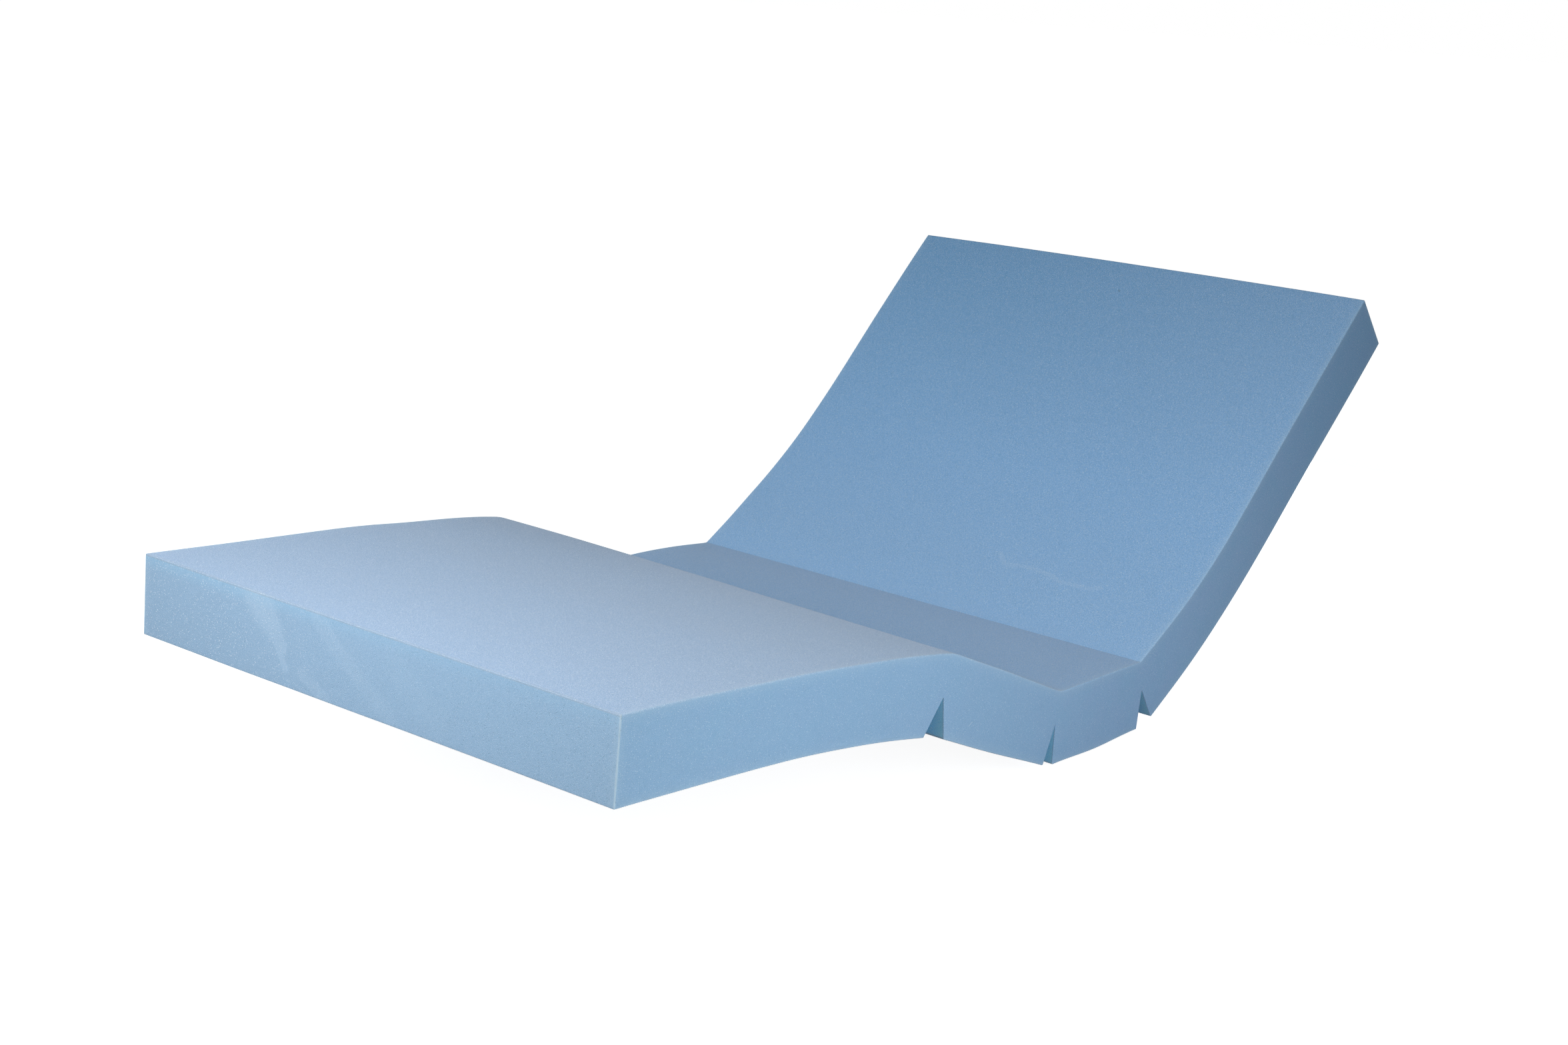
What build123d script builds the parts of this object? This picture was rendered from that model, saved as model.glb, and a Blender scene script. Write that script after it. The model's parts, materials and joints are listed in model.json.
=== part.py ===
from build123d import *
import os
from math import cos, degrees, radians, sin, tan

# Foam mattress for a profiling bed: one block of foam, 2000 x 900 x 110 mm when it lies flat.
# Cuts across its underside let it bend where the deck of the bed bends. It is modelled as it
# lies on a raised deck, with the seat level and the legs and the back raised. The foam between
# two bends is a section, the foam left above a cut is a bridge, and a curve is a stretch with
# no cut that bends along its length.
#
# Frame: +Z up, +X towards the head, +Y across. The origin is the middle of the seat's underside.

# ---- the block
width = 900.0
thickness = 110.0

# ---- lengths along the block, from one bend line to the next; they add up to 2000
foot_length = 428.0
calf_length = 204.0
thigh_length = 303.0
seat_length = 244.0
lumbar_length = 211.0
back_length = 610.0

# ---- cuts across the underside; the widths are at the underside, with the block flat
knee_notch_depth = 52.0
knee_notch_width = 60.0
thigh_slit_depth = 63.0
thigh_slit_width = 3.2
back_slit_depth = 63.0
back_slit_width = 9.2

# ---- bends of the raised block in degrees, positive where the outer side is turned up
thigh_angle = 21.0
knee_angle = -11.34
calf_angle = -7.56
back_angle = 31.0
lumbar_angle = 12.4

# ---- bridges: how far each reaches from its bend line, and the radius of the top face there
knee_reach = 30.0
knee_radius = 120.0
thigh_reach = 30.0
thigh_radius = 65.0
back_reach = 40.0
crease_radius = 4.0

# ---- curves: the radius at half thickness, and the length of each that flexes with the deck
calf_radius = 1900.0
lumbar_radius = 1250.0
flexing_length = 120.0

half_thickness = thickness / 2
FOOTWARD, HEADWARD = -1, 1


def section_plane(bend_line, height, rise, side):
    """The upright plane of a section: x leads away from the seat, and y up from its underside.

    The bend line is at x = 0, at the given height."""
    along = Vector(side * cos(radians(rise)), 0, sin(radians(rise)))
    upward = Vector(-side * sin(radians(rise)), 0, cos(radians(rise)))
    return Plane(origin=bend_line - upward * height, x_dir=along, z_dir=(0, -side, 0))


def turn(angle):
    """1 where a bend turns the outer side up, and -1 where it turns it down."""
    return 1 if angle > 0 else -1


def curve_reach(radius, angle):
    """How far a curve reaches from its middle, along the straight run on either side."""
    return radius * sin(radians(abs(angle) / 2))


def curve_height(radius, angle):
    """The height of a curve's middle, at half thickness, over the underside of a straight run."""
    return half_thickness + turn(angle) * radius * (1 - cos(radians(angle / 2)))


def flexing_angle(radius):
    """Half of the angle that the flexing stretch of a curve takes up."""
    return degrees(flexing_length / 2 / radius)


def curved_end(start, heading, radius, angle):
    """Edges of a curve from its straight run, at x = start, to the face of the flexing stretch.

    The heading is 1 where the edges run away from the seat, and -1 where they run back to it."""
    inward = turn(angle) * half_thickness
    swept = heading * turn(angle) * (abs(angle) / 2 - flexing_angle(radius))
    upper = JernArc((start, thickness), (heading, 0), radius - inward, swept)
    lower = JernArc((start, 0), (heading, 0), radius + inward, swept)
    Line(upper @ 1, lower @ 1)


# ---- the planes of the sections, from the seat to both ends
thigh_line = Vector(-seat_length / 2, 0, thigh_slit_depth)
thigh_plane = section_plane(thigh_line, thigh_slit_depth, thigh_angle, FOOTWARD)

knee_line = thigh_plane.from_local_coords((thigh_length, knee_notch_depth, 0))
calf_rise = thigh_angle + knee_angle
calf_plane = section_plane(knee_line, knee_notch_depth, calf_rise, FOOTWARD)

calf_middle = curve_height(calf_radius, calf_angle)
calf_line = calf_plane.from_local_coords((calf_length, calf_middle, 0))
calf_curve_plane = section_plane(calf_line, 0, calf_rise + calf_angle / 2, FOOTWARD)
foot_plane = section_plane(calf_line, calf_middle, calf_rise + calf_angle, FOOTWARD)

back_line = Vector(seat_length / 2, 0, back_slit_depth)
lumbar_plane = section_plane(back_line, back_slit_depth, back_angle, HEADWARD)

lumbar_middle = curve_height(lumbar_radius, lumbar_angle)
lumbar_line = lumbar_plane.from_local_coords((lumbar_length, lumbar_middle, 0))
lumbar_curve_plane = section_plane(lumbar_line, 0, back_angle + lumbar_angle / 2, HEADWARD)
back_plane = section_plane(lumbar_line, lumbar_middle, back_angle + lumbar_angle, HEADWARD)

# ---- seat section: level, with a slit at each end of its underside
with BuildPart() as seat_section:
    with BuildSketch(Plane.XZ):
        with BuildLine():
            half_seat = seat_length / 2
            Polyline(
                (-half_seat + thigh_reach, thickness),
                (-half_seat + thigh_reach, thigh_slit_depth),
                (-half_seat, thigh_slit_depth),
                (-half_seat + thigh_slit_width / 2, 0),
                (half_seat - back_slit_width / 2, 0),
                (half_seat, back_slit_depth),
                (half_seat - back_reach, back_slit_depth),
                (half_seat - back_reach, thickness),
                close=True,
            )
        make_face()
    extrude(amount=width / 2, both=True)

# ---- thigh section: slopes up from the seat to the knee
with BuildPart() as thigh_section:
    with BuildSketch(thigh_plane):
        with BuildLine():
            Polyline(
                (thigh_reach, thickness),
                (thigh_reach, thigh_slit_depth),
                (0, thigh_slit_depth),
                (thigh_slit_width / 2, 0),
                (thigh_length - knee_notch_width / 2, 0),
                (thigh_length, knee_notch_depth),
                (thigh_length - knee_reach, knee_notch_depth),
                (thigh_length - knee_reach, thickness),
                close=True,
            )
        make_face()
    extrude(amount=width / 2, both=True)

# ---- calf section: from the knee to the flexing stretch of the calf curve
with BuildPart() as calf_section:
    with BuildSketch(calf_plane):
        with BuildLine():
            calf_straight = calf_length - curve_reach(calf_radius, calf_angle)
            Polyline(
                (calf_straight, thickness),
                (knee_reach, thickness),
                (knee_reach, knee_notch_depth),
                (0, knee_notch_depth),
                (knee_notch_width / 2, 0),
                (calf_straight, 0),
            )
            curved_end(calf_straight, 1, calf_radius, calf_angle)
        make_face()
    extrude(amount=width / 2, both=True)

# ---- lumbar section: from the crease to the flexing stretch of the lumbar curve
with BuildPart() as lumbar_section:
    with BuildSketch(lumbar_plane):
        with BuildLine():
            lumbar_straight = lumbar_length - curve_reach(lumbar_radius, lumbar_angle)
            Polyline(
                (lumbar_straight, thickness),
                (back_reach, thickness),
                (back_reach, back_slit_depth),
                (0, back_slit_depth),
                (back_slit_width / 2, 0),
                (lumbar_straight, 0),
            )
            curved_end(lumbar_straight, 1, lumbar_radius, lumbar_angle)
        make_face()
    extrude(amount=width / 2, both=True)


def end_section(plane, length, radius, angle):
    """The foot or the back: the outer part of a curve, then straight to a square end face."""
    start = curve_reach(radius, angle)
    with BuildPart() as section:
        with BuildSketch(plane):
            with BuildLine():
                curved_end(start, -1, radius, angle)
                Polyline((start, thickness), (length, thickness), (length, 0), (start, 0))
            make_face()
        extrude(amount=width / 2, both=True)
    return section


def flexing_curve(plane, radius, angle):
    """The stretch in the middle of a curve that flexes as the deck moves."""
    half = flexing_angle(radius)
    side = turn(angle)
    centre = (0, side * radius)
    first = -90 * side - half
    with BuildPart() as curve:
        with BuildSketch(plane):
            with BuildLine():
                upper = CenterArc(centre, radius - side * half_thickness, first, 2 * half)
                lower = CenterArc(centre, radius + side * half_thickness, first, 2 * half)
                Line(upper @ 0, lower @ 0)
                Line(upper @ 1, lower @ 1)
            make_face()
        extrude(amount=width / 2, both=True)
    return curve


def bridge(plane, cut_depth, angle, reach, radius):
    """The foam left above a cut. It lies on ledges of the two sections and joins them."""
    height = thickness - cut_depth
    tip = Vector(0, cut_depth)
    ledge = Vector(reach, cut_depth)
    top = Vector(reach, thickness)
    corner = Vector(height * tan(radians(angle / 2)), thickness)
    inner_ledge = tip + Vector(-reach, 0).rotate(Axis.Z, -angle)
    inner_top = tip + Vector(-reach, height).rotate(Axis.Z, -angle)
    with BuildPart() as web:
        with BuildSketch(plane):
            with BuildLine():
                FilletPolyline(top, corner, inner_top, radius=radius)
                Polyline(inner_top, inner_ledge, tip, ledge, top)
            make_face()
        extrude(amount=width / 2, both=True)
    return web


foot_section = end_section(foot_plane, foot_length, calf_radius, calf_angle)
back_section = end_section(back_plane, back_length, lumbar_radius, lumbar_angle)
calf_curve = flexing_curve(calf_curve_plane, calf_radius, calf_angle)
lumbar_curve = flexing_curve(lumbar_curve_plane, lumbar_radius, lumbar_angle)
knee_bridge = bridge(calf_plane, knee_notch_depth, knee_angle, knee_reach, knee_radius)
thigh_bridge = bridge(thigh_plane, thigh_slit_depth, thigh_angle, thigh_reach, thigh_radius)
back_bridge = bridge(lumbar_plane, back_slit_depth, back_angle, back_reach, crease_radius)

# ---- labels and files, from the foot end to the head end
pieces = {
    "foot_section": foot_section,
    "calf_curve": calf_curve,
    "calf_section": calf_section,
    "knee_bridge": knee_bridge,
    "thigh_section": thigh_section,
    "thigh_bridge": thigh_bridge,
    "seat_section": seat_section,
    "back_bridge": back_bridge,
    "lumbar_section": lumbar_section,
    "lumbar_curve": lumbar_curve,
    "back_section": back_section,
}
os.makedirs("parts", exist_ok=True)
for name, piece in pieces.items():
    piece.part.label = name
    export_step(piece.part, f"parts/{name}.step")

bend_lines = {
    "thigh": thigh_line,
    "knee": knee_line,
    "calf": calf_line,
    "back": back_line,
    "lumbar": lumbar_line,
}
for name, line in bend_lines.items():
    print(f"{name} bend line: x {line.X:.3f}, z {line.Z:.3f}")
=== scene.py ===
"""A bare foam mattress for a profiling bed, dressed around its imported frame.

The block is cut flat, as its maker cuts it, and then laid over the raised deck of the bed:
every piece is shaped in the flat block, where x runs from the foot end to the head end with
0 in the middle of the seat, y across and z up from the underside. One rule then bends the
flat block to its place at rest, so the pieces meet without a step.
"""

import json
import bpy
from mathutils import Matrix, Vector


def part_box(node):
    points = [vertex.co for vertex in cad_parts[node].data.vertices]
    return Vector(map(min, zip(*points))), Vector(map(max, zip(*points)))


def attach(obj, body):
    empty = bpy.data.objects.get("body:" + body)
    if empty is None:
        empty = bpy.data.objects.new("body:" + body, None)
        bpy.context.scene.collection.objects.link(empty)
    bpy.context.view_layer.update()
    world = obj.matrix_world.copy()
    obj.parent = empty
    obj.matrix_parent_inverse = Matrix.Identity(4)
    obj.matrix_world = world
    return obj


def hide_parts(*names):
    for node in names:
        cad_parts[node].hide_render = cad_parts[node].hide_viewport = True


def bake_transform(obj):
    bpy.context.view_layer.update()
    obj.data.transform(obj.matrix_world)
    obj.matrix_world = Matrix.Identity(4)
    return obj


bl_info = {
    "name": "Foam Mattress",
    "version": (1, 0, 0),
    "blender": (4, 5, 0),
    "location": "View3D > Sidebar > Mattress",
    "description": "Makes a bare foam mattress that bends with the deck of a profiling bed",
    "category": "Object",
}

from math import copysign, cos, pi, radians, sin, tan

import bmesh
import bpy
from bpy.props import FloatProperty, FloatVectorProperty, PointerProperty
from bpy.types import Operator, Panel, PropertyGroup
from mathutils import Matrix, Vector, noise

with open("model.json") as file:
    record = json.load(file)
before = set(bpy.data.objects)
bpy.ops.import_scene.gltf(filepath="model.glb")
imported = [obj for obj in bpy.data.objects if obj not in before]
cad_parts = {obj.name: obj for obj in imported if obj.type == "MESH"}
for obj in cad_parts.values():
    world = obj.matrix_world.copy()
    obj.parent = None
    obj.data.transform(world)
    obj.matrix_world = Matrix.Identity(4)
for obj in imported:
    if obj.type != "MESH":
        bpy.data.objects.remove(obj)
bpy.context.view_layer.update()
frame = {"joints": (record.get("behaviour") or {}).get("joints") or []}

MM = 0.001
FOOTWARD, HEADWARD = -1, 1
BLOCK_PLACE = "block_place"
FOAM = "cut_foam"

# a face of the flat block is square to an axis when its normal lies this near it
SQUARE_ON = 0.99999
# edges sharper than these are worn round, and stay sharp in the shading
WORN_ANGLE, SHARP_ANGLE = radians(20), radians(50)
# the lines of the mesh: how far they run from an edge of the block, how far they stay from the
# ends of a piece, how near a vertex counts as on a line, and how far they run from the tip of
# a cut, the last in millimetres
EDGE_LINE, CLEAR, ON_LINE = 4 * MM, 0.2 * MM, 0.02 * MM
LINES_BY_A_CUT = (0.5, 1.1, 1.8, 3, 5, 8, 12, 17, 23)
# how deep the colour of a face goes in at its edges
SKIN = 1.2 * MM
# how many there are to a metre of foam
PATCHES, WANDERS, RAGS, STREAKS, BLOTCHES = 30.0, 45.0, 90.0, 110.0, 130.0
LUMPS, GRAINS, CELLS = 380.0, 1100.0, 1250.0
PITS, LARGE_SPECKS, SMALL_SPECKS = 290.0, 400.0, 430.0

# rubbed strokes on the foot end: from and to, each across and up, then width and strength
FOOT_MARKS = (
    ((0.210, 0.108), (0.190, 0.090), 0.032, 0.36),
    ((0.190, 0.090), (0.168, 0.070), 0.023, 0.36),
    ((0.168, 0.072), (0.148, 0.052), 0.012, 0.36),
    ((0.166, 0.058), (0.141, 0.024), 0.008, 0.34),
    ((0.082, 0.104), (0.050, 0.076), 0.016, 0.18),
    ((0.066, 0.100), (0.033, 0.070), 0.007, 0.2),
    ((0.048, 0.076), (-0.002, 0.047), 0.016, 0.17),
    ((-0.002, 0.047), (-0.064, 0.008), 0.016, 0.12),
    ((0.110, 0.024), (0.060, 0.005), 0.011, 0.2),
    ((-0.060, 0.080), (-0.150, 0.030), 0.026, 0.07),
)
# a faint crooked line low on the back: across and along
BACK_SCAR = (
    (-0.094, 0.283),
    (-0.115, 0.262),
    (-0.165, 0.268),
    (-0.206, 0.262),
    (-0.228, 0.254),
    (-0.282, 0.256),
    (-0.3, 0.262),
)
# a dark dot high on the back, across and along
STAIN = (-0.008, 0.878), (-0.006, 0.880)
# a small scratch on the near side, along and up
SCRATCH = (-0.344, 0.026), (-0.339, 0.032)

# the lamps: where each stands and what it faces, its power in watts and its colour
MIDDLE, HEAD_END = (-0.15, 0, 0.2), (0.6, 0, 0.3)
LAMPS = {
    "front": ((-1.68, 0, 1.15), MIDDLE, 21.9, (1.0, 0.935, 0.91)),
    "corner": ((-1.05, -1.55, 0.39), MIDDLE, 7.9, (1.0, 0.97, 0.85)),
    "side": ((-0.46, -1.76, 0.39), MIDDLE, 13.3, (0.83, 0.9, 1.0)),
    "far": ((-1.2, 2.0, 0.8), MIDDLE, 18.6, (0.78, 0.93, 1.0)),
    "rear": ((2.2, 0.3, 0.6), HEAD_END, 13.0, (0.95, 0.98, 1.0)),
}

seat_low, seat_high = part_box("seat_section")
joint_line = {joint["name"]: Vector(joint["pos_m"]) for joint in frame["joints"]}


# ---- what a user can change


def length(name, description, default):
    """A size in metres."""
    return FloatProperty(
        name=name, description=description, default=default, min=0.0, unit="LENGTH"
    )


def angle(name, description, degrees):
    """An angle, given in degrees."""
    return FloatProperty(
        name=name, description=description, default=radians(degrees), subtype="ANGLE"
    )


def share(name, description, default):
    """A strength, where 1 is full."""
    return FloatProperty(
        name=name, description=description, default=default, min=0.0, subtype="FACTOR"
    )


def tint(name, description, default):
    """A colour."""
    return FloatVectorProperty(
        name=name,
        description=description,
        default=default,
        min=0.0,
        max=1.0,
        subtype="COLOR",
    )


class BlockSizes(PropertyGroup):
    """The block, its cuts and its bends"""

    width: length("Width", "Size across the block", seat_high.y - seat_low.y)
    thickness: length("Thickness", "Thickness of the block", seat_high.z - seat_low.z)
    foot: length("Foot", "From the middle of the calf curve to the foot end", 0.428)
    calf: length("Calf", "From the knee to the middle of the calf curve", 0.204)
    thigh: length("Thigh", "From the thigh slit to the knee notch", 0.303)
    seat: length("Seat", "From slit to slit", 0.244)
    lumbar: length("Lumbar", "From the back slit to the lumbar curve", 0.211)
    back: length("Back", "From the lumbar curve to the head end", 0.610)
    knee_depth: length("Knee notch depth", "Depth of the notch at the knee", 0.052)
    knee_width: length("Knee notch width", "Width of the notch at its mouth", 0.060)
    slit_depth: length("Slit depth", "Depth of the slits at thigh and back", 0.063)
    thigh_width: length("Thigh slit width", "Width at its mouth", 0.0032)
    back_width: length("Back slit width", "Width at its mouth", 0.0092)
    thigh_angle: angle("Thigh angle", "How far the thighs are raised", 21)
    knee_angle: angle("Knee angle", "Bend over the knee notch", -11.34)
    calf_angle: angle("Calf angle", "Bend of the calf curve", -7.56)
    back_angle: angle("Back angle", "How far the lower back is raised", 31)
    lumbar_angle: angle("Lumbar angle", "Bend of the lumbar curve", 12.4)
    knee_reach: length("Knee reach", "Half length of the knee bridge", 0.030)
    knee_radius: length("Knee radius", "Radius of the top over the knee", 0.120)
    thigh_reach: length("Thigh reach", "Half length of the thigh bridge", 0.030)
    thigh_radius: length("Thigh radius", "Radius of the top over the thigh slit", 0.065)
    back_reach: length("Back reach", "Half length of the back bridge", 0.040)
    crease_radius: length("Crease radius", "Radius in the crease of the back", 0.004)
    calf_radius: length("Calf radius", "Radius of the calf curve", 1.9)
    lumbar_radius: length("Lumbar radius", "Radius of the lumbar curve", 1.25)
    flexing: length("Flexing length", "Length of each curve that flexes", 0.120)
    edge_radius: length("Edge radius", "How far the knife-cut edges are worn", 0.0013)
    mesh_step: length("Mesh step", "Distance between the lines of the mesh", 0.018)


class FoamFinish(PropertyGroup):
    """Colours and marks of the foam, and the light and shade painted on it"""

    colour: tint("Foam", "Colour of the foam", (0.236, 0.432, 0.675))
    lilac: tint("Lilac foam", "Colour of its warmer patches", (0.260, 0.430, 0.682))
    # painted light: the tones of the legs' lying face (a painted sheen), of their ends and
    # sides, and of the back's lying face
    painted_leg_sheen: tint("Leg tone", "Colour of the legs' lying face", (0.261, 0.430, 0.670))
    painted_end_light: tint("End tone", "Colour of the foot end and legs' sides", (0.249, 0.429, 0.638))
    painted_back_light: tint("Back tone", "Colour of the back's lying face", (0.224, 0.446, 0.760))
    painted_shade: tint("Shade", "Colour of the darker upper back", (0.04, 0.30, 0.62))
    edge: tint("Cut edge", "Colour of the thin cut edges", (0.48, 0.645, 0.775))
    # the rim at the top of the foot end is darker
    rim: tint("Rim", "Colour of the worn rim of the foot end", (0.30, 0.37, 0.44))
    speck: tint("Bright cells", "Colour of cells that catch the light", (0.72, 0.82, 0.9))
    # the colour of the dark cells, which also paints the shade on the knee crest
    dark_cell_and_shade: tint("Dark cells", "Colour of open pits", (0.09, 0.2, 0.36))
    # the colour of the rubbed smears, which also paints the light just above the crease
    smear_and_light: tint("Smears", "Colour of the pale rubbed streaks", (0.40, 0.585, 0.78))
    # painted shade deep in the cuts, and painted light at their mouths and under the rim of the
    # foot end
    painted_cut_shade: tint("Inside a cut", "Colour deep in the cuts", (0.19, 0.56, 0.95))
    painted_soak_light: tint("Mouth of a cut", "Colour where light soaks into a cut", (0.28, 0.68, 0.96))
    grain: share("Grain", "Contrast of the fine cells", 0.8)
    specks: share("Specks", "Strength of the bright cells", 0.6)
    pits: share("Pits", "Strength of the open pits", 0.7)


class StageLook(PropertyGroup):
    """Camera, lamps and floor"""

    camera_place: FloatVectorProperty(
        name="Camera",
        description="Where the camera stands",
        default=(-2.7547, -2.0836, 1.0933),
        subtype="TRANSLATION",
        unit="LENGTH",
    )
    camera_turn: angle("Turn", "Heading of the camera, from +Y towards +X", 50.56)
    camera_tilt: angle("Tilt", "How far the camera looks down", 13.83)
    camera_roll: angle("Roll", "Roll of the camera", 3.65)
    focal_length: FloatProperty(
        name="Focal length",
        description="Lens of the camera in millimetres on a 36 mm wide sensor",
        default=51.07,
        min=1.0,
    )
    floor_drop: length("Floor drop", "Gap between the seat and the floor", 0.0055)
    backdrop: tint("Backdrop", "Colour of the floor and the backdrop", (1.0, 1.0, 1.0))
    near_floor: tint("Near floor", "Colour of the floor about the mattress", (0.92, 0.92, 0.92))
    paper: tint("Paper", "Colour of the floor in the light of the lamps", (0.4, 0.4, 0.4))
    air: tint("Air", "Light that comes from all around", (0.0612, 0.085, 0.085))
    lamp_size: length("Lamp size", "Side of each square lamp", 1.2)


# ---- how the flat block lies on the raised deck


class Run:
    """A straight run of the block, footward or headward from the seat.

    Its base lies on the underside, start metres out from the middle of the seat.
    """

    def __init__(self, way, rise, start, base):
        self.way, self.rise = way, rise
        self.along = Vector((way * cos(rise), 0, sin(rise)))
        self.up = Vector((-way * sin(rise), 0, cos(rise)))
        self.start, self.base = start, base

    def lie(self, out, height):
        return self.base + self.along * (out - self.start) + self.up * height

    def turned_up(self, turn):
        """Its upward direction, turned towards the seat."""
        return self.up * cos(turn) - self.along * sin(turn)


class Fold:
    """The bend over a cut, between an inner and an outer run."""

    def __init__(self, inner, at, hinge, thickness, depth, bend, reach, radius):
        line = joint_line[hinge]
        self.inner, self.way, self.at, self.reach = inner, inner.way, at, reach
        self.depth, self.web = depth, thickness - depth
        self.bend, self.radius = bend, radius
        self.outer = Run(inner.way, inner.rise + bend, at, line)
        self.outer.base = line - self.outer.up * depth

    def holds(self, out, height):
        return abs(out - self.at) <= self.reach and height >= self.depth - 2 * MM

    def lie(self, out, height):
        """A level of the foam runs straight, round an arc over the cut, and straight on."""
        half = self.bend / 2
        above = height - self.depth
        mitre = above * tan(half)
        radius = max(self.radius * above / self.web, 0.0)
        tangent, arc = radius * tan(abs(half)), radius * abs(half)
        travel = abs(out - self.at) / self.reach
        travel *= self.reach - mitre - tangent + arc
        turn = 0.0
        if travel >= arc:
            away, lift = mitre + tangent + travel - arc, above
        else:
            turn = abs(half) - travel / radius
            away = mitre + tangent - radius * sin(turn)
            lift = above + copysign(radius * (1 - cos(turn)), half)
        turn = copysign(turn, half)
        if out >= self.at:
            run, out, turn = self.outer, self.at + away, -turn
        else:
            run, out = self.inner, self.at - away
        return run.lie(out, self.depth + lift), run.turned_up(turn)


class Curve:
    """A bend with no cut, spread along an arc between an inner and an outer run."""

    def __init__(self, inner, corner, hinge, thickness, bend, radius):
        line = joint_line[hinge]
        turn = abs(bend) / 2
        slack = radius * (turn - sin(turn))
        self.way, self.at, self.reach = inner.way, corner + slack, radius * turn
        self.radius, self.half, self.rising = radius, thickness / 2, copysign(1, bend)
        self.middle = Run(inner.way, inner.rise + bend / 2, 0, line)
        self.outer = Run(inner.way, inner.rise + bend, self.at + slack, line)
        height = self.half + self.rising * radius * (1 - cos(turn))
        self.outer.base = line - self.outer.up * height

    def holds(self, out, height):
        return abs(out - self.at) <= self.reach

    def lie(self, out, height):
        turn = (out - self.at) / self.radius
        inward = self.radius - self.rising * (height - self.half)
        lift = self.rising * (self.radius - inward * cos(turn))
        point = self.middle.lie(inward * sin(turn), lift)
        return point, self.middle.turned_up(self.rising * turn)


class Lay:
    """The block as it lies on the raised deck."""

    def __init__(self, sizes):
        self.sizes = s = sizes
        legs, head = Run(FOOTWARD, 0, 0, Vector()), Run(HEADWARD, 0, 0, Vector())
        edge, thick, slit = s.seat / 2, s.thickness, s.slit_depth

        thigh = slit, s.thigh_angle, s.thigh_reach, s.thigh_radius
        knee = s.knee_depth, s.knee_angle, s.knee_reach, s.knee_radius
        back = slit, s.back_angle, s.back_reach, s.crease_radius
        calf = s.calf_angle, s.calf_radius
        lumbar = s.lumbar_angle, s.lumbar_radius

        self.thigh = Fold(legs, edge, "thigh_hinge", thick, *thigh)
        self.knee = Fold(self.thigh.outer, edge + s.thigh, "knee_hinge", thick, *knee)
        calf_corner = edge + s.thigh + s.calf
        self.calf = Curve(self.knee.outer, calf_corner, "calf_bend", thick, *calf)
        self.back = Fold(head, edge, "back_hinge", thick, *back)
        self.lumbar = Curve(self.back.outer, edge + s.lumbar, "lumbar_bend", thick, *lumbar)

        self.foot_end = -(self.calf.outer.start + s.foot)
        self.head_end = self.lumbar.outer.start + s.back
        self.runs = {
            FOOTWARD: (legs, (self.thigh, self.knee, self.calf)),
            HEADWARD: (head, (self.back, self.lumbar)),
        }

    def place(self, flat, shift):
        """Where a point of the flat block lies, with its shift along, across and up."""
        run, bends = self.runs[FOOTWARD if flat.x < 0 else HEADWARD]
        out, height = abs(flat.x), flat.z
        for bend in bends:
            if bend.holds(out, height):
                point, up = bend.lie(out, height)
                break
            if out > bend.at:
                run = bend.outer
        else:
            point, up = run.lie(out, height), run.up
        along = Vector((up.z, 0, -up.x))
        across = Vector((0, flat.y, 0))
        return point + across + along * shift.x + Vector((0, shift.y, 0)) + up * shift.z


# ---- the softness of the foam


def hump(value, middle, reach):
    """1 at the middle, 0 beyond the reach and smooth between."""
    t = min(1.0, abs(value - middle) / reach)
    return 1 - t * t * (3 - 2 * t)


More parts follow.
